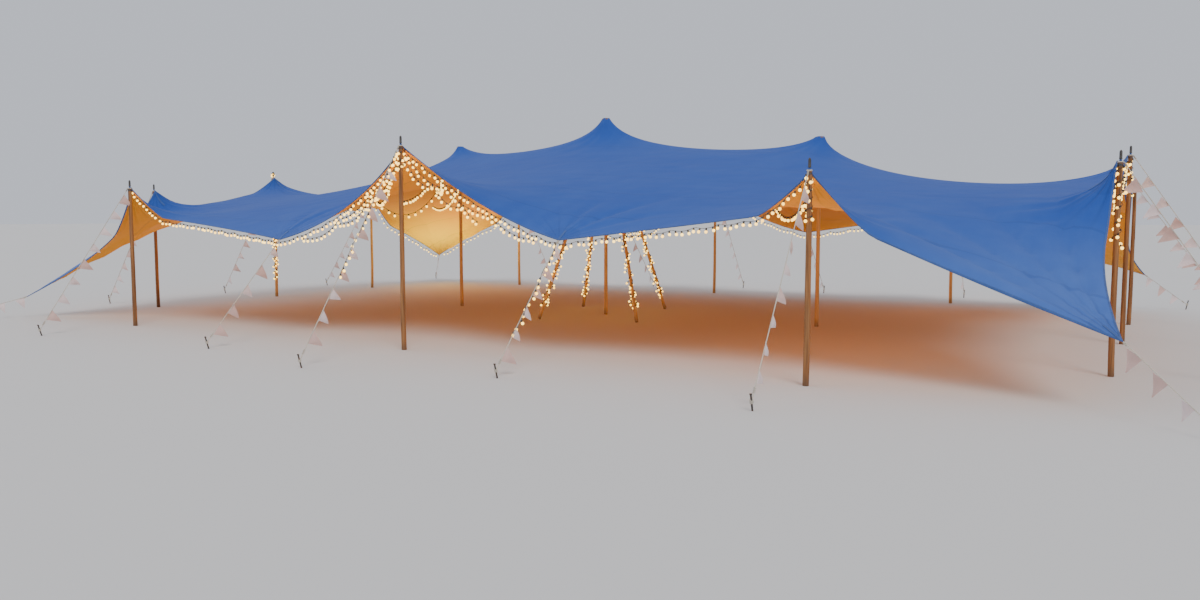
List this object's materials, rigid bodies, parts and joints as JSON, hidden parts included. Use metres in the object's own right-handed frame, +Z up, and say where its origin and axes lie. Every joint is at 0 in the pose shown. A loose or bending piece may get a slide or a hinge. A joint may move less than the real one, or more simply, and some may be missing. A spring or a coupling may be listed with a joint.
{
  "type": "stretch tent",
  "caption": "Open-sided stretch tent: a tensioned sheet over wooden poles and inner peaks, held out by guy ropes to ground stakes.",
  "frame": {"origin": "on the ground, at the middle of the tent in plan", "axes": "+X runs to the right along the front edge, +Y to the back, +Z up"},
  "size_m": [26.864, 19.564, 4.726],
  "materials": {
    "canopy_cloth": "matt coated stretch cloth",
    "pole_wood": "bare weathered wood",
    "cap_wood": "turned hardwood",
    "guy_rope": "braided rope",
    "light_cable": "matt rubber"
  },
  "bodies": {
    "root": {"canopy": "canopy_cloth", "front_left_guy": "guy_rope", "front_left_pole": "pole_wood", "front_left_low_guy": "guy_rope", "front_centre_guy": "guy_rope", "front_centre_pole": "pole_wood", "front_right_low_guy": "guy_rope", "front_right_guy": "guy_rope", "front_right_pole": "pole_wood", "back_left_guy": "guy_rope", "back_left_pole": "pole_wood", "back_left_low_guy": "guy_rope", "back_centre_guy": "guy_rope", "back_centre_pole": "pole_wood", "back_right_low_guy": "guy_rope", "back_right_guy": "guy_rope", "back_right_pole": "pole_wood", "left_front_guy": "guy_rope", "left_front_pole": "pole_wood", "left_middle_guy": "guy_rope", "left_middle_pole": "pole_wood", "left_back_guy": "guy_rope", "left_back_pole": "pole_wood", "right_front_guy": "guy_rope", "right_front_pole": "pole_wood", "right_middle_guy": "guy_rope", "right_middle_pole": "pole_wood", "right_back_guy": "guy_rope", "right_back_pole": "pole_wood", "front_left_corner_guy": "guy_rope", "front_right_corner_guy": "guy_rope", "back_left_corner_guy": "guy_rope", "back_right_corner_guy": "guy_rope", "centre_leg_1": "pole_wood", "centre_leg_2": "pole_wood", "centre_leg_3": "pole_wood", "centre_leg_4": "pole_wood", "leg_band": "guy_rope", "front_light_cable": "light_cable", "left_peak_pole": "pole_wood", "left_peak_cap": "cap_wood", "centre_peak_pole": "pole_wood", "centre_peak_cap": "cap_wood", "right_peak_pole": "pole_wood", "right_peak_cap": "cap_wood"}
  },
  "joints": []
}
